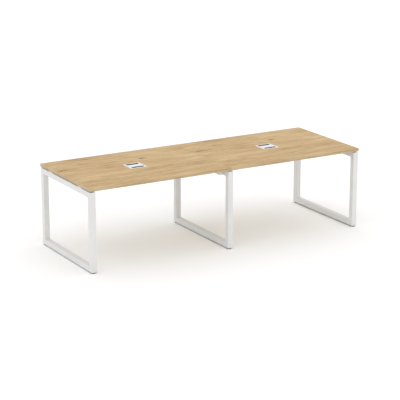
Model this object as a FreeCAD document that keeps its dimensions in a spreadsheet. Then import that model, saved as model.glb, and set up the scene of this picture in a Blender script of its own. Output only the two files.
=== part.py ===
# Conference table: two oak worktops on three closed square-tube frames, with a cable port in each half.
# FreeCAD macro, in millimetres. X runs along the table, Y to the rear and Z up.
# The origin is on the floor, under the middle of the table.
import FreeCAD
import Part
import Sketcher

import os
import re

SIZES = {
    # Whole table
    "overall_length": 2770,
    "overall_depth": 990,
    "overall_height": 750,
    # Worktops: the overhang is past the frames' outer faces
    "worktop_thickness": 25,
    "worktop_corner_radius": 10,
    "worktop_overhang": 5,
    "edging_thickness": 2,
    "edging_edge_radius": 1,
    "seam_gap": 1,
    "shadow_gap": 10,
    # Frames of square tube
    "tube_size": 50,
    "tube_wall": 2,
    "tube_edge_radius": 3,
    "floor_gap": 8,
    # Beams between the frames: the offset is from the table's centre line
    "beam_offset": 286,
    "beam_width": 60,
    "beam_height": 40,
    "beam_wall": 2,
    "beam_edge_radius": 3,
    "beam_end_gap": 1,
    # Brackets in the shadow gap, over rail and beam
    "bracket_width": 60,
    "bracket_reach": 60,
    "bracket_setback": 1,
    "bracket_screw_spread": 30,
    # Countersunk bracket screws and the weld nuts that also take the feet
    "bracket_screw_radius": 4,
    "bracket_screw_length": 22,
    "bracket_screw_recess": 0.2,
    "bracket_head_radius": 8,
    "bracket_head_height": 4,
    "nut_corner_radius": 7.5,
    "nut_height": 8,
    # Worktop screws through the beams, with spacers and threaded inserts
    "worktop_screw_pitch": 450,
    "worktop_screw_radius": 3,
    "worktop_screw_grip": 10,
    "worktop_head_radius": 5.5,
    "worktop_head_height": 3.3,
    "spacer_radius": 12,
    "insert_radius": 4.8,
    "insert_length": 12,
    "insert_spare_depth": 1,
    # Hex sockets in the screw heads
    "socket_corner_radius": 2.3,
    "socket_depth": 2,
    # Cable ports: the rims are the bezel's width beside the lid and beyond the slots
    "port_size": 160,
    "port_side_rim": 19.5,
    "port_slot_rim": 12,
    "port_corner_radius": 6,
    "bezel_thickness": 2,
    "bezel_edge_radius": 0.8,
    "sleeve_wall": 4,
    "sleeve_depth": 28,
    "sleeve_clearance": 0.5,
    # Port lid and its hinge: the tail is behind the hinge axis
    "lid_depth": 74,
    "lid_thickness": 3,
    "lid_corner_radius": 2,
    "lid_edge_radius": 0.8,
    "lid_clearance": 0.5,
    "lid_tail": 10,
    "lug_width": 8,
    "lug_radius": 4,
    "pin_radius": 2,
    "pin_seat": 3,
    "ledge_width": 5,
    "ledge_length": 20,
    "ledge_height": 3,
    "ledge_clearance": 0.3,
    # Brush strips in the port's two slots
    "brush_rail_depth": 8,
    "brush_rail_height": 3,
    "brush_rail_drop": 0.2,
    "brush_end_clearance": 1,
    "bristle_thickness": 2.6,
    "bristle_tip_clearance": 3,
    # Screws that hold the sleeve in the board
    "port_screw_spread": 40,
    "port_screw_length": 16,
    "port_screw_radius": 1.75,
    "port_head_radius": 3.5,
    "port_head_height": 2.2,
    # Levelling feet
    "pad_radius": 22,
    "pad_top_radius": 18,
    "pad_rim_height": 4.5,
    "pad_clearance": 0.3,
    "stud_radius": 4,
    "stud_length": 45,
    "stud_seat_height": 3,
    "stud_chamfer": 1,
    # Shared fits
    "hole_clearance": 0.3,
    "running_clearance": 0.05,
}

# Places and sizes that several pieces share, as expressions of the sheet's names
WORKTOP_BASE = "(overall_height - worktop_thickness)"
FRAME_TOP = "(overall_height - worktop_thickness - shadow_gap)"
FRAME_HEIGHT = f"({FRAME_TOP} - floor_gap)"
FRAME_DEPTH = "(overall_depth - 2 * worktop_overhang)"
END_FRAME_X = "(overall_length / 2 - worktop_overhang - tube_size / 2)"
BAY_X = f"({END_FRAME_X} / 2)"
HALF_WORKTOP_LENGTH = "((overall_length - seam_gap) / 2)"
PORT_X = "((overall_length + seam_gap) / 4)"
PORT_TOP = "(overall_height + bezel_thickness)"
OPENING_LENGTH = "(port_size - 2 * port_side_rim)"
OPENING_DEPTH = "(port_size - 2 * port_slot_rim)"
LID_LENGTH = f"({OPENING_LENGTH} - 2 * lid_clearance)"
LID_BASE = f"({PORT_TOP} - lid_thickness)"
HINGE_Y = "(lid_depth / 2 - lid_tail)"
HINGE_Z = f"({LID_BASE} - lug_radius)"
PIN_LENGTH = "(lug_width + lid_clearance + pin_seat)"
FOOT_Y = f"({FRAME_DEPTH} / 2 - tube_size / 2)"

SIDES = {"left": "-1", "right": "1"}
ROWS = {"front": "-1", "rear": "1"}
ORIGIN = ("0", "0", "0")
FRAMES = {"left": f"-{END_FRAME_X}", "middle": "0", "right": END_FRAME_X}

X_AXIS = FreeCAD.Vector(1, 0, 0)
Y_AXIS = FreeCAD.Vector(0, 1, 0)
Z_AXIS = FreeCAD.Vector(0, 0, 1)
UPRIGHT = FreeCAD.Rotation()
HALF_TURN = FreeCAD.Rotation(Z_AXIS, 180)
ALONG_X = FreeCAD.Rotation(Y_AXIS, 90)
AGAINST_X = FreeCAD.Rotation(Y_AXIS, -90)
TOLERANCE = 1e-6

doc = FreeCAD.newDocument("conference_table")
sheet = doc.addObject("Spreadsheet::Sheet", "Sizes")
for row_number, (alias, number) in enumerate(SIZES.items(), start=1):
    sheet.set(f"A{row_number}", alias)
    sheet.set(f"B{row_number}", str(number))
    sheet.setAlias(f"B{row_number}", alias)
doc.recompute()

pieces = []


def sized(text):
    """Return an expression with each size name turned into its sheet cell."""
    def cell(word):
        return f"Sizes.{word.group()}" if word.group() in SIZES else word.group()

    return re.sub(r"[a-z_]+", cell, text)


def bind(item, **expressions):
    for name, text in expressions.items():
        item.setExpression(name, sized(text))


def place(item, at, turn=UPRIGHT):
    item.Placement = FreeCAD.Placement(FreeCAD.Vector(), turn)
    for axis, text in zip("xyz", at):
        item.setExpression(f".Placement.Base.{axis}", sized(text))
    return item


def keep(item, label):
    """Mark an object as a finished piece; its label names its file."""
    item.Label = label
    pieces.append(item)
    return item


# Primitives and booleans
def block(name, size, at):
    """Box centred on at in X and Y, standing on at in Z."""
    item = doc.addObject("Part::Box", name)
    length, depth, height = size
    bind(item, Length=length, Width=depth, Height=height)
    x, y, z = at
    return place(item, (f"{x} - ({length}) / 2", f"{y} - ({depth}) / 2", z))


def rod(name, radius, height, at, turn=UPRIGHT):
    item = doc.addObject("Part::Cylinder", name)
    bind(item, Radius=radius, Height=height)
    return place(item, at, turn)


def cone(name, base_radius, top_radius, height, at, turn=UPRIGHT):
    item = doc.addObject("Part::Cone", name)
    bind(item, Radius1=base_radius, Radius2=top_radius, Height=height)
    return place(item, at, turn)


def hexagon(name, corner_radius, height, at):
    item = doc.addObject("Part::Prism", name)
    item.Polygon = 6
    bind(item, Circumradius=corner_radius, Height=height)
    return place(item, at)


def together(name, items):
    item = doc.addObject("Part::Compound", name)
    item.Links = items
    return item


def cut(name, base, tools):
    item = doc.addObject("Part::Cut", name)
    item.Base = base
    item.Tool = together(f"{name}_tools", tools)
    return item


def fuse(name, items):
    item = doc.addObject("Part::MultiFuse", name)
    item.Shapes = items
    item.Refine = True
    return item


def copies(name, form, places):
    """One separate solid of the form at each place."""
    links = []
    for number, at in enumerate(places, start=1):
        link = doc.addObject("App::Link", f"{name}_{number}")
        link.LinkedObject = form
        links.append(place(link, at))
    return together(name, links)


# Sketched bodies
def closed_outline(body, corners):
    """Sketch a closed outline on the body's XY plane; each corner is (x sign, x, y sign, y)."""
    sketch = body.newObject("Sketcher::SketchObject", f"{body.Name}_outline")
    plane = next(item for item in body.Origin.OriginFeatures if item.Role == "XY_Plane")
    sketch.AttachmentSupport = [(plane, "")]
    sketch.MapMode = "FlatFace"
    rough = [FreeCAD.Vector(x_sign, y_sign, 0) for x_sign, x, y_sign, y in corners]
    for number, start in enumerate(rough):
        sketch.addGeometry(Part.LineSegment(start, rough[(number + 1) % len(rough)]))
    for number in range(len(rough)):
        following = (number + 1) % len(rough)
        sketch.addConstraint(Sketcher.Constraint("Coincident", number, 2, following, 1))
    for number, (x_sign, x, y_sign, y) in enumerate(corners):
        for kind, sign, distance in (("DistanceX", x_sign, x), ("DistanceY", y_sign, y)):
            ends = (-1, 1, number, 1) if sign > 0 else (number, 1, -1, 1)
            index = sketch.addConstraint(Sketcher.Constraint(kind, *ends, 1))
            sketch.setExpression(f"Constraints[{index}]", sized(distance))
    return sketch


def rounded(body, feature, edges, radius, name):
    fillet = body.newObject("PartDesign::Fillet", f"{body.Name}_{name}")
    fillet.Base = (feature, edges)
    bind(fillet, Radius=radius)
    doc.recompute()
    return fillet


def edges_where(shape, test):
    return [f"Edge{number}" for number, edge in enumerate(shape.Edges, start=1) if test(edge)]


def runs_along(edge, axis):
    start, end = edge.firstVertex().Point, edge.lastVertex().Point
    return edge.Curve.TypeId == "Part::GeomLine" and (end - start).cross(axis).Length < TOLERANCE


def plate(name, length, depth, thickness, corner_radius, outer_end_only=False, edge_radius=None,
          lower_edge_too=False):
    """Flat board centred on its origin, with rounded corners and, if asked, rounded edges to its faces."""
    body = doc.addObject("PartDesign::Body", name)
    half_length, half_depth = f"({length}) / 2", f"({depth}) / 2"
    signs = ((-1, -1), (1, -1), (1, 1), (-1, 1))
    outline = closed_outline(body, [(x, half_length, y, half_depth) for x, y in signs])
    pad = body.newObject("PartDesign::Pad", f"{name}_pad")
    pad.Profile = outline
    bind(pad, Length=thickness)
    doc.recompute()
    upright = edges_where(pad.Shape, lambda edge: runs_along(edge, Z_AXIS)
                          and (edge.CenterOfMass.x > 0 or not outer_end_only))
    result = rounded(body, pad, upright, corner_radius, "corners")
    if edge_radius:
        box = result.Shape.BoundBox
        rim = edges_where(result.Shape, lambda edge: edge.BoundBox.ZMin > box.ZMax - TOLERANCE
                          or lower_edge_too and edge.BoundBox.ZMax < box.ZMin + TOLERANCE)
        rounded(body, result, rim, edge_radius, "rim")
    return body


def mitred_tube(name, long_side):
    """Square tube along its own X axis, mitred at both ends towards its own -Y, the frame's outside."""
    body = doc.addObject("PartDesign::Body", name)

    def trapezium(inset):
        side_half = f"tube_size / 2 - {inset}"
        long_half = f"{long_side} / 2 - {inset}"
        short_half = f"{long_side} / 2 - tube_size + {inset}"
        return closed_outline(body, [(-1, long_half, -1, side_half), (1, long_half, -1, side_half),
                                     (1, short_half, 1, side_half), (-1, short_half, 1, side_half)])

    pad = body.newObject("PartDesign::Pad", f"{name}_pad")
    pad.Profile = trapezium("0")
    pad.SideType = "Symmetric"
    bind(pad, Length="tube_size")
    pocket = body.newObject("PartDesign::Pocket", f"{name}_hollow")
    pocket.Profile = trapezium("tube_wall")
    pocket.SideType = "Symmetric"
    bind(pocket, Length="tube_size - 2 * tube_wall")
    doc.recompute()
    outside = pocket.Shape.BoundBox.ZMax
    long_edges = edges_where(pocket.Shape, lambda edge: runs_along(edge, X_AXIS)
                             and abs(edge.CenterOfMass.z) > outside - TOLERANCE)
    rounded(body, pocket, long_edges, "tube_edge_radius", "edges")
    return body


# Where the fasteners sit
def bracket_columns(frame):
    """X of the bracket screws: over the rail, then over the beam on each side that has one."""
    over_beam = "(tube_size / 2 + bracket_reach / 2)"
    beam_steps = {"left": [over_beam], "middle": [f"-{over_beam}", over_beam], "right": [f"-{over_beam}"]}
    return [f"{FRAMES[frame]} + {step}" for step in ["0", *beam_steps[frame]]]


def bracket_screw_rows(row):
    return [f"{ROWS[row]} * beam_offset + {sign} * bracket_screw_spread / 2" for sign in ("-1", "1")]


def worktop_screw_columns(side):
    return [f"{SIDES[side]} * {BAY_X} + {step} * worktop_screw_pitch" for step in ("-1", "0", "1")]


def worktop_screw_places(side, height):
    columns = worktop_screw_columns(side)
    return [(x, f"{sign} * beam_offset", height) for sign in ROWS.values() for x in columns]


# Worktops: each board and its edge band, with the port's cut-out and the holes for inserts and port screws
def port_screw_places(side):
    """Mouth of each port screw on the sleeve's inside, with the turn that points it into the board."""
    middle = f"{WORKTOP_BASE} + worktop_thickness / 2"
    places = []
    for x_sign, turn in (("-1", AGAINST_X), ("1", ALONG_X)):
        x = f"{SIDES[side]} * {PORT_X} + {x_sign} * {OPENING_LENGTH} / 2"
        for y_sign in ("-1", "1"):
            places.append(((x, f"{y_sign} * port_screw_spread / 2", middle), turn))
    return places


def make_worktop(side):
    turn = HALF_TURN if side == "left" else UPRIGHT
    centre = (f"{SIDES[side]} * {PORT_X}", "0", WORKTOP_BASE)
    blank = place(plate(f"worktop_{side}_blank", f"{HALF_WORKTOP_LENGTH} - 2 * edging_thickness",
                        "overall_depth - 2 * edging_thickness", "worktop_thickness",
                        "worktop_corner_radius - edging_thickness", outer_end_only=True), centre, turn)
    outer = place(plate(f"edging_{side}_outer", HALF_WORKTOP_LENGTH, "overall_depth", "worktop_thickness",
                        "worktop_corner_radius", outer_end_only=True, edge_radius="edging_edge_radius",
                        lower_edge_too=True), centre, turn)
    keep(cut(f"edging_{side}", outer, [blank]), f"edging_{side}")
    around = "2 * (sleeve_wall + sleeve_clearance)"
    cutout_size = (f"{OPENING_LENGTH} + {around}", f"{OPENING_DEPTH} + {around}", "worktop_thickness")
    holes = [block(f"port_cutout_{side}", cutout_size, centre)]
    for at in worktop_screw_places(side, WORKTOP_BASE):
        holes.append(rod(f"insert_hole_{side}", "insert_radius + running_clearance",
                         "insert_length + insert_spare_depth", at))
    for at, turn in port_screw_places(side):
        holes.append(rod(f"port_pilot_{side}", "port_screw_radius + running_clearance",
                         "port_screw_length", at, turn))
    keep(cut(f"worktop_{side}", blank, holes), f"worktop_{side}")


for side in SIDES:
    make_worktop(side)


# Frames: four mitred tubes each, drilled for the bracket screws above and the feet below
def make_frame(frame):
    x = FRAMES[frame]
    middle_height = f"floor_gap + {FRAME_HEIGHT} / 2"
    top_axis, bottom_axis = f"{FRAME_TOP} - tube_size / 2", "floor_gap + tube_size / 2"
    front = (x, f"-{FOOT_Y}", middle_height)
    rear = (x, FOOT_Y, middle_height)
    front_turn = FreeCAD.Rotation(-Z_AXIS, Y_AXIS, X_AXIS, "XYZ")
    rear_turn = FreeCAD.Rotation(Z_AXIS, -Y_AXIS, X_AXIS, "XYZ")
    name = f"frame_{frame}"
    keep(place(mitred_tube(f"{name}_front_tube", FRAME_HEIGHT), front, front_turn), f"{name}_front_leg")
    keep(place(mitred_tube(f"{name}_rear_tube", FRAME_HEIGHT), rear, rear_turn), f"{name}_rear_leg")
    top_tube = place(mitred_tube(f"{name}_top_tube", FRAME_DEPTH), (x, "0", top_axis),
                     FreeCAD.Rotation(-Y_AXIS, -Z_AXIS, X_AXIS, "XYZ"))
    bracket_holes = [rod(f"{name}_bracket_hole", "bracket_screw_radius + hole_clearance", "tube_wall",
                         (x, y, f"{FRAME_TOP} - tube_wall"))
                     for row in ROWS for y in bracket_screw_rows(row)]
    keep(cut(f"{name}_top", top_tube, bracket_holes), f"{name}_top_rail")
    bottom_tube = place(mitred_tube(f"{name}_bottom_tube", FRAME_DEPTH), (x, "0", bottom_axis),
                        FreeCAD.Rotation(Y_AXIS, Z_AXIS, X_AXIS, "XYZ"))
    foot_holes = [rod(f"{name}_foot_hole", "stud_radius + hole_clearance", "tube_wall",
                      (x, f"{sign} * {FOOT_Y}", "floor_gap")) for sign in ROWS.values()]
    keep(cut(f"{name}_bottom", bottom_tube, foot_holes), f"{name}_bottom_rail")


for frame in FRAMES:
    make_frame(frame)


# Beams: rectangular tubes hung under the brackets, drilled for bracket and worktop screws
def make_beam(side, row):
    x, y, base = f"{SIDES[side]} * {BAY_X}", f"{ROWS[row]} * beam_offset", f"{FRAME_TOP} - beam_height"
    length = f"({END_FRAME_X} - tube_size - 2 * beam_end_gap)"
    name = f"beam_{side}_{row}"
    outer = place(plate(f"{name}_outer", "beam_height", "beam_width", length, "beam_edge_radius"),
                  (f"{x} - {length} / 2", y, f"{base} + beam_height / 2"), ALONG_X)
    tools = [block(f"{name}_hollow", (length, "beam_width - 2 * beam_wall", "beam_height - 2 * beam_wall"),
                   (x, y, f"{base} + beam_wall"))]
    over_beam = [bracket_columns(side)[1], bracket_columns("middle")[1 if side == "left" else 2]]
    for hole_x in over_beam:
        for hole_y in bracket_screw_rows(row):
            tools.append(rod(f"{name}_bracket_hole", "bracket_screw_radius + hole_clearance", "beam_wall",
                             (hole_x, hole_y, f"{FRAME_TOP} - beam_wall")))
    for hole_x in worktop_screw_columns(side):
        tools.append(rod(f"{name}_worktop_hole", "worktop_screw_radius + hole_clearance", "beam_height",
                         (hole_x, y, base)))
    keep(cut(name, outer, tools), name)


for side in SIDES:
    for row in ROWS:
        make_beam(side, row)


# Brackets: flat bars in the shadow gap that tie rails and beams together and carry the worktops
def make_bracket(frame, row):
    x, y = FRAMES[frame], f"{ROWS[row]} * beam_offset"
    inward = {"left": "1", "middle": "0", "right": "-1"}[frame]
    name = f"bracket_{frame}_{row}"
    if frame == "middle":
        length, centre = "tube_size + 2 * bracket_reach", x
    else:
        length = "tube_size + bracket_reach - bracket_setback"
        centre = f"{x} + {inward} * (bracket_reach + bracket_setback) / 2"
    bar = block(f"{name}_bar", (length, "bracket_width", "shadow_gap"), (centre, y, FRAME_TOP))
    tools = []
    for hole_x in bracket_columns(frame):
        for hole_y in bracket_screw_rows(row):
            tools.append(rod(f"{name}_hole", "bracket_screw_radius + hole_clearance", "shadow_gap",
                             (hole_x, hole_y, FRAME_TOP)))
            sink = "(bracket_head_height + bracket_screw_recess)"
            tools.append(cone(f"{name}_sink", "bracket_screw_radius + hole_clearance",
                              "bracket_head_radius + hole_clearance", sink,
                              (hole_x, hole_y, f"{WORKTOP_BASE} - {sink}")))
    keep(cut(name, bar, tools), name)


for frame in FRAMES:
    for row in ROWS:
        make_bracket(frame, row)

# Bracket screws and the weld nuts inside rails and beams, each a group of separate solids
bracket_head = cone("bracket_head", "bracket_screw_radius", "bracket_head_radius", "bracket_head_height",
                    ("0", "0", "-bracket_head_height"))
bracket_shank = rod("bracket_shank", "bracket_screw_radius", "bracket_screw_length - bracket_head_height",
                    ("0", "0", "-bracket_screw_length"))
bracket_socket = hexagon("bracket_socket", "socket_corner_radius", "socket_depth",
                         ("0", "0", "-socket_depth"))
bracket_screw_form = cut("bracket_screw_form", fuse("bracket_screw_solid", [bracket_head, bracket_shank]),
                         [bracket_socket])
bracket_points = [(x, y) for frame in FRAMES for row in ROWS
                  for x in bracket_columns(frame) for y in bracket_screw_rows(row)]
keep(copies("bracket_screw_group", bracket_screw_form,
            [(x, y, f"{WORKTOP_BASE} - bracket_screw_recess") for x, y in bracket_points]), "bracket_screws")

nut_form = cut("nut_form", hexagon("nut_hexagon", "nut_corner_radius", "nut_height", ORIGIN),
               [rod("nut_thread", "stud_radius + running_clearance", "nut_height", ORIGIN)])
keep(copies("bracket_nut_group", nut_form,
            [(x, y, f"{FRAME_TOP} - tube_wall - nut_height") for x, y in bracket_points]), "bracket_nuts")
foot_points = [(x, f"{sign} * {FOOT_Y}") for x in FRAMES.values() for sign in ROWS.values()]
keep(copies("foot_nut_group", nut_form,
            [(x, y, "floor_gap + tube_wall") for x, y in foot_points]), "foot_nuts")

# Worktop fixings: screw through the beam, spacer in the shadow gap, threaded insert in the board
head_base = ("0", "0", "-worktop_head_height")
worktop_head = rod("worktop_head", "worktop_head_radius", "worktop_head_height", head_base)
worktop_shank = rod("worktop_shank", "worktop_screw_radius",
                    "beam_height + shadow_gap + worktop_screw_grip", ORIGIN)
worktop_socket = hexagon("worktop_socket", "socket_corner_radius", "socket_depth", head_base)
worktop_screw_form = cut("worktop_screw_form", fuse("worktop_screw_solid", [worktop_head, worktop_shank]),
                         [worktop_socket])
spacer_form = cut("spacer_form", rod("spacer_disc", "spacer_radius", "shadow_gap", ORIGIN),
                  [rod("spacer_bore", "worktop_screw_radius + hole_clearance", "shadow_gap", ORIGIN)])
insert_form = cut("insert_form", rod("insert_barrel", "insert_radius", "insert_length", ORIGIN),
                  [rod("insert_bore", "worktop_screw_radius + running_clearance", "insert_length", ORIGIN)])


def on_both_worktops(height):
    return [at for side in SIDES for at in worktop_screw_places(side, height)]


keep(copies("worktop_screw_group", worktop_screw_form, on_both_worktops(f"{FRAME_TOP} - beam_height")),
     "worktop_screws")
keep(copies("spacer_group", spacer_form, on_both_worktops(FRAME_TOP)), "worktop_spacers")
keep(copies("insert_group", insert_form, on_both_worktops(WORKTOP_BASE)), "worktop_inserts")


# Cable ports: bezel with its sleeve, hinged lid on two pins, and a brush strip in each slot
def hinge_place(side, x_sign):
    """Point on the hinge axis at the lug's inner face."""
    return (f"{SIDES[side]} * {PORT_X} + {x_sign} * ({LID_LENGTH} / 2 - lug_width)", HINGE_Y, HINGE_Z)


def make_bezel(side):
    x = f"{SIDES[side]} * {PORT_X}"
    name = f"port_{side}_bezel"
    flange = place(plate(f"{name}_flange", "port_size", "port_size", "bezel_thickness", "port_corner_radius",
                         edge_radius="bezel_edge_radius"), (x, "0", "overall_height"))
    sleeve_base = (x, "0", "overall_height - sleeve_depth")
    height = "sleeve_depth + bezel_thickness"
    walls = "2 * sleeve_wall"
    sleeve = block(f"{name}_sleeve", (f"{OPENING_LENGTH} + {walls}", f"{OPENING_DEPTH} + {walls}", height),
                   sleeve_base)
    opening = block(f"{name}_opening", (OPENING_LENGTH, OPENING_DEPTH, height), sleeve_base)
    ring = cut(f"{name}_ring", fuse(f"{name}_solid", [flange, sleeve]), [opening])
    ledges = []
    holes = []
    for sign, turn in (("-1", AGAINST_X), ("1", ALONG_X)):
        ledge_x = f"{x} + {sign} * ({OPENING_LENGTH} / 2 - (ledge_width - sleeve_wall / 2) / 2)"
        ledge_size = ("ledge_width + sleeve_wall / 2", "ledge_length", "ledge_height")
        ledges.append(block(f"{name}_ledge", ledge_size, (ledge_x, "ledge_length / 2 - lid_depth / 2",
                                                          f"{LID_BASE} - ledge_clearance - ledge_height")))
        holes.append(rod(f"{name}_pin_hole", "pin_radius", PIN_LENGTH, hinge_place(side, sign), turn))
    for at, turn in port_screw_places(side):
        holes.append(rod(f"{name}_screw_hole", "port_screw_radius + hole_clearance", "sleeve_wall", at, turn))
        holes.append(cone(f"{name}_screw_sink", "port_head_radius + hole_clearance",
                          "port_screw_radius + hole_clearance", "port_head_height", at, turn))
    keep(cut(f"{name}_drilled", fuse(f"{name}_ledged", [ring, *ledges]), holes), name)


def make_lid(side):
    x = f"{SIDES[side]} * {PORT_X}"
    name = f"port_{side}_lid"
    panel = place(plate(f"{name}_panel", LID_LENGTH, "lid_depth", "lid_thickness", "lid_corner_radius",
                        edge_radius="lid_edge_radius"), (x, "0", LID_BASE))
    solids = [panel]
    bores = []
    for sign, turn in (("-1", AGAINST_X), ("1", ALONG_X)):
        lug_x = f"{x} + {sign} * ({LID_LENGTH} / 2 - lug_width / 2)"
        solids.append(block(f"{name}_lug", ("lug_width", "2 * lug_radius", "lug_radius + lid_thickness / 2"),
                            (lug_x, HINGE_Y, HINGE_Z)))
        solids.append(rod(f"{name}_knuckle", "lug_radius", "lug_width", hinge_place(side, sign), turn))
        bores.append(rod(f"{name}_bore", "pin_radius + running_clearance", "lug_width",
                         hinge_place(side, sign), turn))
    keep(cut(f"{name}_bored", fuse(f"{name}_solid", solids), bores), name)


def make_port(side):
    x = f"{SIDES[side]} * {PORT_X}"
    make_bezel(side)
    make_lid(side)
    pins = [rod(f"port_{side}_pin", "pin_radius", PIN_LENGTH, hinge_place(side, sign), turn)
            for sign, turn in (("-1", AGAINST_X), ("1", ALONG_X))]
    keep(together(f"port_{side}_pin_pair", pins), f"port_{side}_hinge_pins")

    length = f"({OPENING_LENGTH} - 2 * brush_end_clearance)"
    slot = f"(({OPENING_DEPTH} - lid_depth) / 2)"
    bristle_length = f"({slot} - brush_rail_depth - bristle_tip_clearance)"
    rail_base = f"({PORT_TOP} - brush_rail_drop - brush_rail_height)"
    rails = []
    bristles = []
    for sign in ROWS.values():
        rail_y = f"{sign} * ({OPENING_DEPTH} / 2 - brush_rail_depth / 2)"
        bristle_y = f"{sign} * ({OPENING_DEPTH} / 2 - brush_rail_depth - {bristle_length} / 2)"
        rails.append(block(f"port_{side}_rail", (length, "brush_rail_depth", "brush_rail_height"),
                           (x, rail_y, rail_base)))
        bristles.append(block(f"port_{side}_bristle", (length, bristle_length, "bristle_thickness"),
                              (x, bristle_y, f"{rail_base} + (brush_rail_height - bristle_thickness) / 2")))
    keep(together(f"port_{side}_rail_pair", rails), f"port_{side}_brush_rails")
    keep(together(f"port_{side}_bristle_pair", bristles), f"port_{side}_bristles")

    screws = []
    for number, (at, turn) in enumerate(port_screw_places(side), start=1):
        name = f"port_{side}_screw_{number}"
        head = cone(f"{name}_head", "port_head_radius", "port_screw_radius", "port_head_height", at, turn)
        shank = rod(f"{name}_shank", "port_screw_radius", "port_screw_length", at, turn)
        screws.append(fuse(name, [head, shank]))
    keep(together(f"port_{side}_screw_group", screws), f"port_{side}_screws")


for side in SIDES:
    make_port(side)


# Levelling feet: a pad under each leg and the threaded stud that raises and lowers it
def make_foot(frame, row):
    x, y = FRAMES[frame], f"{ROWS[row]} * {FOOT_Y}"
    name = f"foot_{frame}_{row}"
    rim = rod(f"{name}_rim", "pad_radius", "pad_rim_height", (x, y, "0"))
    shoulder = cone(f"{name}_shoulder", "pad_radius", "pad_top_radius",
                    "floor_gap - pad_clearance - pad_rim_height", (x, y, "pad_rim_height"))
    seat = rod(f"{name}_seat", "stud_radius + running_clearance", "floor_gap",
               (x, y, "stud_seat_height - pad_clearance"))
    keep(cut(f"{name}_pad_solid", fuse(f"{name}_disc", [rim, shoulder]), [seat]), f"{name}_pad")
    thread = rod(f"{name}_thread", "stud_radius", "stud_length - stud_chamfer", (x, y, "stud_seat_height"))
    tip = cone(f"{name}_tip", "stud_radius", "stud_radius - stud_chamfer", "stud_chamfer",
               (x, y, "stud_seat_height + stud_length - stud_chamfer"))
    keep(fuse(f"{name}_stud_solid", [thread, tip]), f"{name}_stud")


for frame in FRAMES:
    for row in ROWS:
        make_foot(frame, row)

# Check every object, then write each piece to its file
doc.recompute()
for item in doc.Objects:
    if "Invalid" in item.State or "Error" in item.State:
        raise RuntimeError(f"{item.Name} failed: {item.State}")
os.makedirs("parts", exist_ok=True)
for piece in pieces:
    shape = piece.Shape
    if shape.isNull() or not shape.isValid() or not shape.Solids:
        raise RuntimeError(f"{piece.Label} has no valid solid")
    shape.exportStep(f"parts/{piece.Label}.step")
print(f"{len(pieces)} pieces written")
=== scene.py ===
# Conference table in oak decor on three white steel frames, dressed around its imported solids.
# Metres, in the solids' own frame: X along the table, Y to the rear, Z up from the floor.
import math

import bpy
import numpy as np
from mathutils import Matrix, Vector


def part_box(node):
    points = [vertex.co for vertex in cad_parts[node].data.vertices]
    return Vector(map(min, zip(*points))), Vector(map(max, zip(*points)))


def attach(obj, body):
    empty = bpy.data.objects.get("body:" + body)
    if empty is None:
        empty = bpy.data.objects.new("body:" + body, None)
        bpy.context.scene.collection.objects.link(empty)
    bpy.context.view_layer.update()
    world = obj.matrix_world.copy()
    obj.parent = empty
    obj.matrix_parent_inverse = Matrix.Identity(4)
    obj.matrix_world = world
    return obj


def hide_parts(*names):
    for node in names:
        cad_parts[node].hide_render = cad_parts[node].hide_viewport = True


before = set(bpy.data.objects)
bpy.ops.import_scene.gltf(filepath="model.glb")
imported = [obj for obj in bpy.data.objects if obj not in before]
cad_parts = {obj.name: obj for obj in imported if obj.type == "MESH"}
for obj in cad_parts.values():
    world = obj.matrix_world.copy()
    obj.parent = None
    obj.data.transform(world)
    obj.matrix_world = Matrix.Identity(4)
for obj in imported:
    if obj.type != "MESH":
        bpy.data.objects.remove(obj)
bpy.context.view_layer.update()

# Levelling feet: a round pad of moulded black polypropylene under each leg, on a zinc-plated M8 stud.
# The stud screws into a nut welded inside the bottom rail, so turning it sets the height of that corner.
MM = 0.001
FRAMES = ("left", "middle", "right")
ROWS = ("front", "rear")
LEGS = [f"{name}_{row}" for name in FRAMES for row in ROWS]
THREAD_PITCH = 1.25 * MM
THREAD_DEPTH = 0.65 * MM
THREAD_FLAT = 0.2
STUD_CHAMFER = 1.0 * MM
ROWS_PER_PITCH = 8
THREAD_COLUMNS = 24
# Nearly all of a noise lies between these two values, so tints are spread over them.
NOISE_SPREAD = (0.3, 0.7)
SPECKLE_DETAIL = 3.0
SPECKLE_STRENGTH = 0.5


def linear(colour):
    """sRGB hex to linear: c / 12.92 up to 0.04045, and ((c + 0.055) / 1.055) to the power 2.4 above."""
    srgb = np.array([int(colour[start:start + 2], 16) for start in (1, 3, 5)]) / 255
    rgb = np.where(srgb <= 0.04045, srgb / 12.92, ((srgb + 0.055) / 1.055) ** 2.4)
    return (*rgb.tolist(), 1.0)


def add(tree, kind, inputs=(), stops=(), **settings):
    """Add a node with its settings, its ramp's stops, and a value or a link for each input.

    A stop is a position and a colour. An input is named or numbered, and a node given as its value is
    linked from that node's first output."""
    made = tree.nodes.new(kind)
    for option, value in settings.items():
        setattr(made, option, value)
    for number, (position, colour) in enumerate(stops):
        elements = made.color_ramp.elements
        stop = elements[number] if number < len(elements) else elements.new(position)
        stop.position = position
        stop.color = linear(colour)
    for name, value in dict(inputs).items():
        source = value.outputs[0] if isinstance(value, bpy.types.Node) else value
        if isinstance(source, bpy.types.NodeSocket):
            tree.links.new(source, made.inputs[name])
        else:
            made.inputs[name].default_value = source
    return made


def start_finish(name, **constants):
    """New material: returns it with its tree, its Principled shader and its object coordinates."""
    material = bpy.data.materials.new(name)
    material.use_nodes = True
    tree = material.node_tree
    shader = tree.nodes["Principled BSDF"]
    for socket, value in constants.items():
        shader.inputs[socket.replace("_", " ")].default_value = value
    return material, tree, shader, add(tree, "ShaderNodeTexCoord").outputs["Object"]


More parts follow.
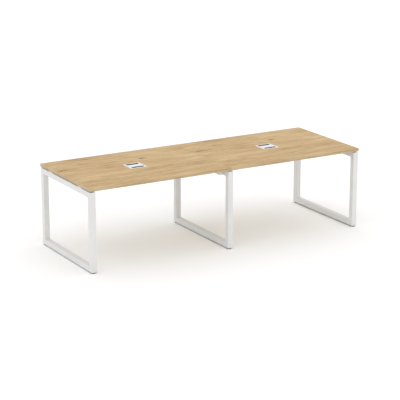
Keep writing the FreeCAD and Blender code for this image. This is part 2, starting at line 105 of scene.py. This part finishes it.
def grained_finish(name, grain, bump, colours, **constants):
    """Moulded, extruded or plated surface, tinted and lifted by one noise.

    The noise's cells have the grain's size, and it lifts the surface by the bump's height."""
    material, tree, shader, place = start_finish(name, **constants)
    speckle = {"Vector": place, "Scale": 1 / grain, "Detail": SPECKLE_DETAIL}
    noise = add(tree, "ShaderNodeTexNoise", speckle)
    tint = add(tree, "ShaderNodeValToRGB", {"Fac": noise}, stops=list(zip(NOISE_SPREAD, colours)))
    relief = {"Height": noise, "Strength": SPECKLE_STRENGTH, "Distance": bump}
    lift = add(tree, "ShaderNodeBump", relief)
    tree.links.new(tint.outputs["Color"], shader.inputs["Base Color"])
    tree.links.new(lift.outputs["Normal"], shader.inputs["Normal"])
    return material


def dress(material, *nodes):
    """Give CAD nodes a finish through their own material slots."""
    for name in nodes:
        for material_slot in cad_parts[name].material_slots:
            material_slot.material = material


def sew(name, grids, material, body, slot, *replaced, crisp=math.pi):
    """Piece from grids of points (count, rows, columns, 3): quads between rows, with caps at both ends.

    Each row is closed round. Edges sharper than the crisp angle keep a hard line in the shading."""
    count, rows, columns, _ = grids.shape
    index = np.arange(count * rows * columns).reshape(count, rows, columns)
    beside = np.roll(index, -1, axis=2)
    around = [index[:, :-1], beside[:, :-1], beside[:, 1:], index[:, 1:]]
    quads = np.stack(around, axis=-1).reshape(-1, 4)
    caps = np.concatenate([index[:, 0, ::-1], index[:, -1]])
    mesh = bpy.data.meshes.new(name)
    mesh.from_pydata(grids.reshape(-1, 3), [], [*quads.tolist(), *caps.tolist()])
    mesh.polygons.foreach_set("use_smooth", [True] * len(quads) + [False] * len(caps))
    mesh.set_sharp_from_angle(angle=crisp)
    mesh.materials.append(material)
    piece = bpy.data.objects.new(name, mesh)
    bpy.context.scene.collection.objects.link(piece)
    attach(piece, body)
    if replaced:
        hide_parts(*replaced)


def threaded_stud(low, high):
    """Rolled thread on a grid of height z and turn t: radius = outer radius - depth * w.

    w is a triangle wave of z / pitch - t, flattened at crest and root. Over the chamfer at the top, the
    radius shrinks with z."""
    centre, radius = (low + high) / 2, (high.x - low.x) / 2
    rows = round((high.z - low.z) / THREAD_PITCH * ROWS_PER_PITCH) + 1
    heights = np.linspace(low.z, high.z, rows)
    z, turn = np.meshgrid(heights, np.arange(THREAD_COLUMNS) / THREAD_COLUMNS, indexing="ij")
    wave = np.abs((z / THREAD_PITCH - turn) % 1 * 2 - 1)
    root = np.clip(wave * (1 + 2 * THREAD_FLAT) - THREAD_FLAT, 0, 1)
    chamfer = np.clip(z - (high.z - STUD_CHAMFER), 0, None)
    reach = np.minimum(radius - THREAD_DEPTH * root, radius - chamfer)
    angle = 2 * math.pi * turn
    points = [centre.x + reach * np.cos(angle), centre.y + reach * np.sin(angle), z]
    return np.stack(points, axis=-1)[None]


# Moulded polypropylene: near black, with the dull fine texture of a spark-eroded mould.
black_polypropylene = grained_finish("moulded_black_polypropylene", 1.2 * MM, 0.05 * MM,
                                     ("#19191a", "#262627"), Roughness=0.55)
# Zinc-plated steel: a soft bluish grey metal, faintly cloudy from the plating bath.
zinc_plate = grained_finish("zinc_plated_steel", 3.0 * MM, 0.01 * MM, ("#aeb2b6", "#c8cbcd"),
                            Metallic=1.0, Roughness=0.34)

for leg in LEGS:
    dress(black_polypropylene, f"foot_{leg}_pad")
    stud = f"foot_{leg}_stud"
    sew(f"foot_{leg}_thread", threaded_stud(*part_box(stud)), zinc_plate, stud, "zinc_steel", stud)

# Frames: closed loops of 50 mm square steel tube, mitred, welded at the corners and powder coated white.
# The outer seams are ground flush, and a small fillet weld stays in each inner corner under the coat.
# The face that a frame stands on, under its bottom rail, is painted grey as shade, to darken the gap
# under the rail.
TUBES = ("front_leg", "rear_leg", "top_rail", "bottom_rail")
TUBE_EDGE_RADIUS = 3.0 * MM
COAT_TINTS = ("#e6e6e5", "#ebebea")
COAT_PATCH = 180 * MM
COAT_DIMPLE = 2.5 * MM
COAT_DIMPLE_DEPTH = 0.06 * MM
COAT_DIMPLE_STRENGTH = 0.35
COAT_DETAIL = 2.0
COAT_ROUGHNESS = (0.46, 0.58)
COAT_SPECULAR = 0.1
# Painted shade: the face under the bottom rails is grey, up to the edge height above it, to darken the
# gap beneath.
PAINTED_GAP_SHADE = "#868685"
PAINTED_GAP_SHADE_EDGE = 0.5 * MM
WELD_LEG = 4.0 * MM
WELD_CROWN = 0.6 * MM
WELD_RIPPLE = 1.8 * MM
WELD_SWELL = 0.07
WELD_ROWS_PER_RIPPLE = 6
WELD_COLUMNS = 10


def below(tree, place, limit):
    """1 where a point's height is under the limit, and 0 elsewhere."""
    level = add(tree, "ShaderNodeSeparateXYZ", {"Vector": place}).outputs["Z"]
    return add(tree, "ShaderNodeMath", {0: level, 1: limit}, operation="LESS_THAN")


def powder_coat():
    """Sprayed polyester: a white satin with fine orange peel, faintly toned by the film's thickness."""
    material, tree, shader, place = start_finish("white_powder_coat", Specular_IOR_Level=COAT_SPECULAR)
    patches = {"Vector": place, "Scale": 1 / COAT_PATCH, "Detail": COAT_DETAIL}
    film = add(tree, "ShaderNodeTexNoise", patches)
    tint = add(tree, "ShaderNodeValToRGB", {"Fac": film}, stops=list(zip(NOISE_SPREAD, COAT_TINTS)))
    # Painted shade: below the bottom rails' lower face, plus the edge, the coat turns grey.
    under = below(tree, place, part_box("frame_left_bottom_rail")[0].z + PAINTED_GAP_SHADE_EDGE)
    coat = add(tree, "ShaderNodeMix", {0: under, 6: tint, 7: linear(PAINTED_GAP_SHADE)}, data_type="RGBA")
    dimples = {"Vector": place, "Scale": 1 / COAT_DIMPLE, "Detail": COAT_DETAIL}
    peel = add(tree, "ShaderNodeTexNoise", dimples)
    dull, dullest = COAT_ROUGHNESS
    gloss = add(tree, "ShaderNodeMapRange", {"Value": peel, "To Min": dull, "To Max": dullest})
    relief = {"Height": peel, "Strength": COAT_DIMPLE_STRENGTH, "Distance": COAT_DIMPLE_DEPTH}
    lift = add(tree, "ShaderNodeBump", relief)
    tree.links.new(coat.outputs[2], shader.inputs["Base Color"])
    tree.links.new(gloss.outputs["Result"], shader.inputs["Roughness"])
    tree.links.new(lift.outputs["Normal"], shader.inputs["Normal"])
    return material


def corner_weld(x_range, corner, y_way, z_way):
    """Fillet bead on a grid of run x and turn t: a ring through the corner and the two tube faces.

    Its sloping side bulges by crown * sin(pi t), and its leg swells with sin(2 pi x / ripple), as the
    ripples of a weld pool do."""
    start, end = x_range
    rows = round((end - start) / WELD_RIPPLE * WELD_ROWS_PER_RIPPLE) + 1
    x = np.linspace(start, end, rows)[:, None]
    across = np.linspace(0, 1, WELD_COLUMNS)[None, :]
    leg = WELD_LEG * (1 + WELD_SWELL * np.sin(2 * math.pi * (x - start) / WELD_RIPPLE))
    bulge = WELD_CROWN * np.sin(math.pi * across)
    out_y = leg * (1 - across) + bulge
    out_z = leg * across + bulge
    face = np.stack([x + 0 * out_y, corner[0] + y_way * out_y, corner[1] + z_way * out_z], axis=-1)
    root = np.stack([x, corner[0] + 0 * x, corner[1] + 0 * x], axis=-1)
    ring = np.concatenate([face, root], axis=1)
    return ring if y_way * z_way > 0 else ring[:, ::-1]


white_coat = powder_coat()
for name in FRAMES:
    dress(white_coat, *[f"frame_{name}_{tube}" for tube in TUBES])
    low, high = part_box(f"frame_{name}_top_rail")
    tube_size = high.x - low.x
    run = (low.x + TUBE_EDGE_RADIUS, high.x - TUBE_EDGE_RADIUS)
    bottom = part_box(f"frame_{name}_bottom_rail")[1].z
    corners = [(low.y + tube_size, bottom, 1, 1), (high.y - tube_size, bottom, -1, 1),
               (low.y + tube_size, low.z, 1, -1), (high.y - tube_size, low.z, -1, -1)]
    welds = np.stack([corner_weld(run, (y, z), y_way, z_way) for y, z, y_way, z_way in corners])
    sew(f"frame_{name}_welds", welds, white_coat, "table", "white_steel")

# Beams and brackets: rectangular steel tubes between the frames, hung from flat bars in the shadow gap.
# They carry the same white coat as the frames, and countersunk screws hold them together.
SIDES = ("left", "right")

for row in ROWS:
    dress(white_coat, *[f"beam_{side}_{row}" for side in SIDES])
    dress(white_coat, *[f"bracket_{name}_{row}" for name in FRAMES])

# Seam bearers: short steel tubes, closed at both ends and welded to the middle frame's top rail.
# The ends of both boards rest on them beside the seam, and they carry the frame's white coat.
BEARER_WIDTH = 40.0 * MM
BEARER_HEIGHT = 55.0 * MM
BEARER_LENGTH = 84.0 * MM
BEARER_SETBACK = 90.0 * MM
BEARER_BEVEL = 1.0 * MM
CORNER_POINTS = 6
CRISP_EDGE = math.radians(40)


def seam_bearer(middle_x, start_y, top_z):
    """Tube on a grid of run y and turn round the section: a quarter circle about each inner corner.

    The circle has the tube's edge radius, and the section shrinks by the bevel at both ends."""
    half = np.array([BEARER_WIDTH, BEARER_HEIGHT]) / 2
    quarter = np.arange(4)[:, None]
    turn = (quarter + np.linspace(0, 1, CORNER_POINTS)) * math.pi / 2
    diagonal = (quarter + 0.5) * math.pi / 2 + 0 * turn
    inner = np.sign(np.stack([np.cos(diagonal), np.sin(diagonal)], axis=-1)) * (half - TUBE_EDGE_RADIUS)
    rounded = TUBE_EDGE_RADIUS * np.stack([np.cos(turn), np.sin(turn)], axis=-1)
    ring = (inner + rounded).reshape(-1, 2)
    run = np.array([0, BEARER_BEVEL, BEARER_LENGTH - BEARER_BEVEL, BEARER_LENGTH])[:, None]
    shrink = 1 - np.array([BEARER_BEVEL, 0, 0, BEARER_BEVEL])[:, None, None] / half
    section = ring[None, ::-1] * shrink
    points = (middle_x + section[..., 0], start_y + run, top_z - half[1] + section[..., 1])
    return np.stack(np.broadcast_arrays(*points), axis=-1)


low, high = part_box("frame_middle_top_rail")
board_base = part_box("worktop_left")[0].z
bearers = [seam_bearer(x, y, board_base)
           for x in (low.x - BEARER_WIDTH / 2, high.x + BEARER_WIDTH / 2)
           for y in (low.y + BEARER_SETBACK, high.y - BEARER_SETBACK - BEARER_LENGTH)]
sew("frame_middle_bearers", np.stack(bearers), white_coat, "table", "white_steel", crisp=CRISP_EDGE)

# Fasteners: zinc-plated screws, nuts and threaded inserts that hold frames, beams and boards together.
# Black polypropylene rings space the boards from the beams.
dress(zinc_plate, "bracket_screws", "bracket_nuts", "foot_nuts", "worktop_screws", "worktop_inserts")
dress(black_polypropylene, "worktop_spacers")

# Worktops: 25 mm chipboard faced with oak decor, grain along the table, and a 2 mm printed edge band.
# Both boards come from the same print, so knots and figure lie at the same places about each cable port.
# The underside is drawn a shade duller and darker than the print on top: painted shade, which makes the
# shade under the table darker and less warm.
OAK_TONE = 0.62
OAK_STOPS = [(0.0, "#5a3414"), (0.25, "#7b5226"), (0.45, "#b38b51"), (0.62, "#ccab75"), (0.8, "#dbbe8a")]
BAND_STOPS = [(0.0, "#664a2c"), (0.45, "#b09161"), (0.62, "#c7ae89"), (0.8, "#d4bf9c")]
# Painted shade: the boards' underside, up to this height above their base, takes the duller colour below.
SHADED_UNDERSIDE_DEPTH = 0.5 * MM
SHADED_UNDERSIDE_SHIFT = {"Hue": 0.512, "Saturation": 0.88, "Value": 0.86}
# Knots and figure: x and y from the port's middle and spread along and across the grain, all in mm,
# and depth of tone.
KNOTS = [(170, 200, 22, 10, 0.7), (-650, 160, 20, 10, 0.2)]
FIGURE = [(200, 200, 60, 15, 0.2), (-390, 460, 80, 30, 0.14), (-600, 160, 100, 40, 0.09),
          (540, -190, 110, 40, 0.1), (200, -150, 230, 30, 0.07), (-230, 120, 100, 70, 0.06),
          (-270, -420, 330, 30, 0.07), (600, 110, 130, 100, -0.08), (400, 270, 200, 70, -0.08),
          (560, 450, 220, 50, -0.08), (-520, -170, 150, 60, -0.1), (-300, -130, 240, 30, -0.08)]
KNOT_REACH = 3.5
KNOT_BEND = 0.75
# Bands, streaks and fibre of the print: length and width of one cell in mm, and depth of tone.
GRAIN = [(1000, 130, 0.25), (450, 24, 0.65), (110, 5, 0.5)]
GRAIN_DETAIL = 2.0
NOISE_MIDDLE = 0.5
# Growth rings: length and width in mm of one patch of them, and how many contours its noise is cut into.
RING_PATCH = (1500, 170)
RINGS = 34.0
RING_DETAIL = 3.0
RING_ROUGHNESS = 0.35
LATE_WOOD_POWER = 4.0
LATE_WOOD_TONE = 0.12
# Pores: length and width in mm of one dash, and the part of its noise that makes a pore.
PORE_DASH = (16, 0.8)
PORE_DETAIL = 1.0
PORE_START = 0.56
PORE_FULL = 0.7
PORE_TONE = 0.2
PORE_EMBOSS = 0.12 * MM
PORE_STRENGTH = 0.4
PORE_ROUGHNESS = 0.62
PRINT_ROUGHNESS = 0.46
PRINT_SPECULAR = 0.35


def soft_mark(tree, away, length, width):
    """Oval mark that fades as exp(-d^2), d the distance in lengths along the grain and widths across."""
    size = (1 / (length * MM), 1 / (width * MM), 0)
    scaled = add(tree, "ShaderNodeVectorMath", {0: away, 1: size}, operation="MULTIPLY")
    square = add(tree, "ShaderNodeVectorMath", {0: scaled, 1: scaled}, operation="DOT_PRODUCT")
    return add(tree, "ShaderNodeMath", {0: math.exp(-1), 1: square.outputs["Value"]}, operation="POWER")


def along_grain(tree, grain, length, width, **settings):
    """Noise whose cells have the given length along the grain and width across it, in mm."""
    scale = (1 / (length * MM), 1 / (width * MM), 1)
    stretched = add(tree, "ShaderNodeMapping", {"Vector": grain, "Scale": scale})
    return add(tree, "ShaderNodeTexNoise", {"Vector": stretched, "Scale": 1.0, **settings})


def oak_print(tree, shader, grain, tone, stops):
    """Flat-sawn oak: noises along the grain, growth rings as contours of a slow noise, and open pores.

    Late wood darkens towards each contour, and the pores lie in the early wood just past it. The print is
    matt, and its embossed pores are duller still. Returns the print's colour."""
    for length, width, depth in GRAIN:
        noise = along_grain(tree, grain, length, width, Detail=GRAIN_DETAIL)
        swing = add(tree, "ShaderNodeMath", {0: noise, 1: NOISE_MIDDLE}, operation="SUBTRACT")
        tone = add(tree, "ShaderNodeMath", {0: swing, 1: depth, 2: tone}, operation="MULTIPLY_ADD")
    slow = along_grain(tree, grain, *RING_PATCH, Detail=RING_DETAIL, Roughness=RING_ROUGHNESS)
    contours = add(tree, "ShaderNodeMath", {0: slow, 1: RINGS}, operation="MULTIPLY")
    ring = add(tree, "ShaderNodeMath", {0: contours}, operation="FRACT")
    late = add(tree, "ShaderNodeMath", {0: ring, 1: LATE_WOOD_POWER}, operation="POWER")
    tone = add(tree, "ShaderNodeMath", {0: late, 1: -LATE_WOOD_TONE, 2: tone}, operation="MULTIPLY_ADD")
    dash = along_grain(tree, grain, *PORE_DASH, Detail=PORE_DETAIL)
    early = add(tree, "ShaderNodeMath", {0: 1.0, 1: ring}, operation="SUBTRACT")
    opening = {"Value": dash, "From Min": PORE_START, "From Max": PORE_FULL, "To Max": early}
    pore = add(tree, "ShaderNodeMapRange", opening)
    tone = add(tree, "ShaderNodeMath", {0: pore, 1: -PORE_TONE, 2: tone}, operation="MULTIPLY_ADD")
    dulled = {"Value": pore, "To Min": PRINT_ROUGHNESS, "To Max": PORE_ROUGHNESS}
    gloss = add(tree, "ShaderNodeMapRange", dulled)
    sunk = {"Height": pore, "Strength": PORE_STRENGTH, "Distance": -PORE_EMBOSS}
    lift = add(tree, "ShaderNodeBump", sunk)
    tree.links.new(gloss.outputs["Result"], shader.inputs["Roughness"])
    tree.links.new(lift.outputs["Normal"], shader.inputs["Normal"])
    return add(tree, "ShaderNodeValToRGB", {"Fac": tone}, stops=stops)


def oak_decor(name, middle):
    """Oak print on a board: a knot is dark, and pushes the grain aside by (y - knot) * bend * mark.

    The underside is that colour, shifted in hue and lower in saturation and value, as painted shade."""
    material, tree, shader, place = start_finish(name, Specular_IOR_Level=PRINT_SPECULAR)
    board = add(tree, "ShaderNodeMapping", {"Vector": place, "Location": -middle})
    grain = board
    tone = OAK_TONE
    for x, y, length, width, depth in KNOTS + FIGURE:
        away = add(tree, "ShaderNodeVectorMath", {0: board, 1: (x * MM, y * MM, 0)}, operation="SUBTRACT")
        mark = soft_mark(tree, away, length, width)
        tone = add(tree, "ShaderNodeMath", {0: mark, 1: -depth, 2: tone}, operation="MULTIPLY_ADD")
        if (x, y, length, width, depth) in KNOTS:
            reach = soft_mark(tree, away, length * KNOT_REACH, width * KNOT_REACH)
            aside = {0: away, 1: (0, -KNOT_BEND, 0)}
            push = add(tree, "ShaderNodeVectorMath", aside, operation="MULTIPLY")
            push = add(tree, "ShaderNodeVectorMath", {0: push, "Scale": reach}, operation="SCALE")
            grain = add(tree, "ShaderNodeVectorMath", {0: grain, 1: push}, operation="ADD")
    printed = oak_print(tree, shader, grain, tone, OAK_STOPS)
    # Painted shade: the underside takes the print made duller and darker.
    under = below(tree, place, board_base + SHADED_UNDERSIDE_DEPTH)
    painted_underside_shade = add(tree, "ShaderNodeHueSaturation", {"Color": printed, "Fac": under, **SHADED_UNDERSIDE_SHIFT})
    tree.links.new(painted_underside_shade.outputs["Color"], shader.inputs["Base Color"])
    return material


def oak_edge_band(name, middle):
    """The same print on the edge band: its grain runs along x + y, and so goes on round the corners."""
    material, tree, shader, place = start_finish(name, Specular_IOR_Level=PRINT_SPECULAR)
    board = add(tree, "ShaderNodeMapping", {"Vector": place, "Location": -middle})
    axes = add(tree, "ShaderNodeSeparateXYZ", {"Vector": board})
    along = add(tree, "ShaderNodeMath", {0: axes.outputs["X"], 1: axes.outputs["Y"]}, operation="ADD")
    grain = add(tree, "ShaderNodeCombineXYZ", {"X": along, "Y": axes.outputs["Z"]})
    printed = oak_print(tree, shader, grain, OAK_TONE, BAND_STOPS)
    tree.links.new(printed.outputs["Color"], shader.inputs["Base Color"])
    return material


for side in SIDES:
    low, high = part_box(f"port_{side}_bezel")
    middle = (low + high) / 2
    dress(oak_decor(f"oak_decor_{side}", middle), f"worktop_{side}")
    dress(oak_edge_band(f"oak_edge_band_{side}", middle), f"edging_{side}")

# Cable ports: a white moulded bezel and sleeve let into each board, and a lid that swings on steel pins.
# Small screws hold the sleeve, and a black brush strip closes each of the two cable slots.
FIBRE_WIDTH = 0.5 * MM
FIBRE_PITCH = 0.7 * MM
FIBRE_LAYERS = 4
FIBRE_ROWS = 4
FIBRE_SIDES = 4
FIBRE_DRIFT = 0.45 * MM
FIBRE_SHORTFALL = 0.025
FIBRE_TAPER = 1 / 3
FIBRE_SAG = 0.5
FIBRE_RISE = 0.15 * MM
FRONT_TIP_GAP = 0.2 * MM
REAR_TIP_GAP = 3.0 * MM
FIBRE_SEED = 11
fibre_draw = np.random.default_rng(FIBRE_SEED)

# Moulded ABS: cool white, satin, with a very fine mould texture.
white_abs = grained_finish("moulded_white_abs", 1.5 * MM, 0.03 * MM, ("#e7e8ea", "#edeef0"),
                           Roughness=0.36)
# Extruded PVC: the brushes' black holders, quite matt.
black_pvc = grained_finish("extruded_black_pvc", 0.8 * MM, 0.02 * MM, ("#0e0e0f", "#161617"),
                           Roughness=0.75, Specular_IOR_Level=0.03)
# Nylon filament: black strands with a dull gleam, no two quite alike.
black_nylon = grained_finish("black_nylon_filament", 0.9 * MM, 0.02 * MM, ("#070708", "#151517"),
                             Roughness=0.6, Specular_IOR_Level=0.05)


def brush_fibres(low, high, root_y, tip_y):
    """Filaments on a grid of fibre, length s and side a: root + s * (tip - root).

    A small sideways drift and sag grow with s^2, and the square section narrows to two thirds at the
    tip."""
    columns = int((high.x - low.x) / FIBRE_PITCH)
    spread = np.linspace(low.x + FIBRE_PITCH, high.x - FIBRE_PITCH, columns)
    x, layer = np.meshgrid(spread, np.arange(FIBRE_LAYERS))
    x = (x + (layer % 2 - 0.5) * FIBRE_PITCH / 2).ravel()
    z = np.linspace(low.z + FIBRE_WIDTH / 2, high.z - FIBRE_WIDTH / 2, FIBRE_LAYERS)[layer.ravel()]
    drift = fibre_draw.normal(0, FIBRE_DRIFT, (2, x.size))
    reach = 1 - np.abs(fibre_draw.normal(0, FIBRE_SHORTFALL, x.size))
    s = np.linspace(0, 1, FIBRE_ROWS)[None, :, None]
    angle = (np.arange(FIBRE_SIDES) + 0.5)[None, None, :] * 2 * math.pi / FIBRE_SIDES
    half = FIBRE_WIDTH / 2 * (1 - s * FIBRE_TAPER)
    px = x[:, None, None] + drift[0][:, None, None] * s ** 2 + half * np.cos(angle)
    py = root_y + (tip_y - root_y) * reach[:, None, None] * s + 0 * angle
    rise = np.minimum(FIBRE_SAG * drift[1], FIBRE_RISE)
    pz = z[:, None, None] + rise[:, None, None] * s ** 2 + half * np.sin(angle)
    points = np.stack(np.broadcast_arrays(px, py, pz), axis=-1)
    return points if tip_y < root_y else points[:, :, ::-1]


for side in SIDES:
    dress(white_abs, f"port_{side}_bezel", f"port_{side}_lid")
    dress(zinc_plate, f"port_{side}_hinge_pins", f"port_{side}_screws")
    dress(black_pvc, f"port_{side}_brush_rails")
    low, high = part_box(f"port_{side}_bristles")
    lid_low, lid_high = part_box(f"port_{side}_lid")
    front = brush_fibres(low, high, low.y, lid_low.y - FRONT_TIP_GAP)
    rear = brush_fibres(low, high, high.y, lid_high.y + REAR_TIP_GAP)
    strips = np.concatenate([front, rear])
    sew(f"port_{side}_brush", strips, black_nylon, "table", "black_bristle", f"port_{side}_bristles")

# Stage: a matt white floor under an even white studio sky, with only the soft shade under the table.
# Rays that show the floor see it a little brighter than the table does, so it is white around its shade.
FLOOR_HALF = 40.0
FLOOR_SEEN = 1.09
FLOOR_BOUNCE = 0.95
SKY_STRENGTH = 1.0


def white_floor():
    """Diffuse floor: one brightness for camera, mirror and glass rays, another for the light it gives."""
    material = bpy.data.materials.new("white_studio_floor")
    material.use_nodes = True
    tree = material.node_tree
    tree.nodes.clear()
    path = add(tree, "ShaderNodeLightPath")
    seen = path.outputs["Is Camera Ray"]
    for ray in ("Is Glossy Ray", "Is Transmission Ray"):
        seen = add(tree, "ShaderNodeMath", {0: seen, 1: path.outputs[ray]}, operation="MAXIMUM")
    white = add(tree, "ShaderNodeMapRange", {"Value": seen, "To Min": FLOOR_BOUNCE, "To Max": FLOOR_SEEN})
    paint = add(tree, "ShaderNodeBsdfDiffuse", {"Color": white})
    add(tree, "ShaderNodeOutputMaterial", {"Surface": paint})
    return material


floor_mesh = bpy.data.meshes.new("studio_floor")
floor_corners = [(-FLOOR_HALF, -FLOOR_HALF, 0), (FLOOR_HALF, -FLOOR_HALF, 0),
                 (FLOOR_HALF, FLOOR_HALF, 0), (-FLOOR_HALF, FLOOR_HALF, 0)]
floor_mesh.from_pydata(floor_corners, [], [(0, 1, 2, 3)])
floor_mesh.materials.append(white_floor())
floor = bpy.data.objects.new("studio_floor", floor_mesh)
scene = bpy.context.scene
scene.collection.objects.link(floor)

scene.view_settings.view_transform = "Standard"
scene.world = bpy.data.worlds.new("studio_sky")
scene.world.use_nodes = True
sky = scene.world.node_tree.nodes["Background"]
sky.inputs["Color"].default_value = linear("#ffffff")
sky.inputs["Strength"].default_value = SKY_STRENGTH

# Camera: a long lens at the photograph's viewing angle, to the front left and above the worktop.
# Place in metres, angles in degrees, lens in millimetres, and how far it sees in metres.
CAMERA_PLACE = (-6.788, -11.469, 4.143)
CAMERA_TILT_DOWN = 15.95
CAMERA_TURN = -30.52
LENS = 136.7
CAMERA_SIGHT = 200.0

camera = bpy.data.objects.new("camera", bpy.data.cameras.new("camera"))
camera.data.lens = LENS
camera.data.clip_end = CAMERA_SIGHT
camera.location = CAMERA_PLACE
camera.rotation_euler = (math.radians(90 - CAMERA_TILT_DOWN), 0, math.radians(CAMERA_TURN))
scene.collection.objects.link(camera)
scene.camera = camera
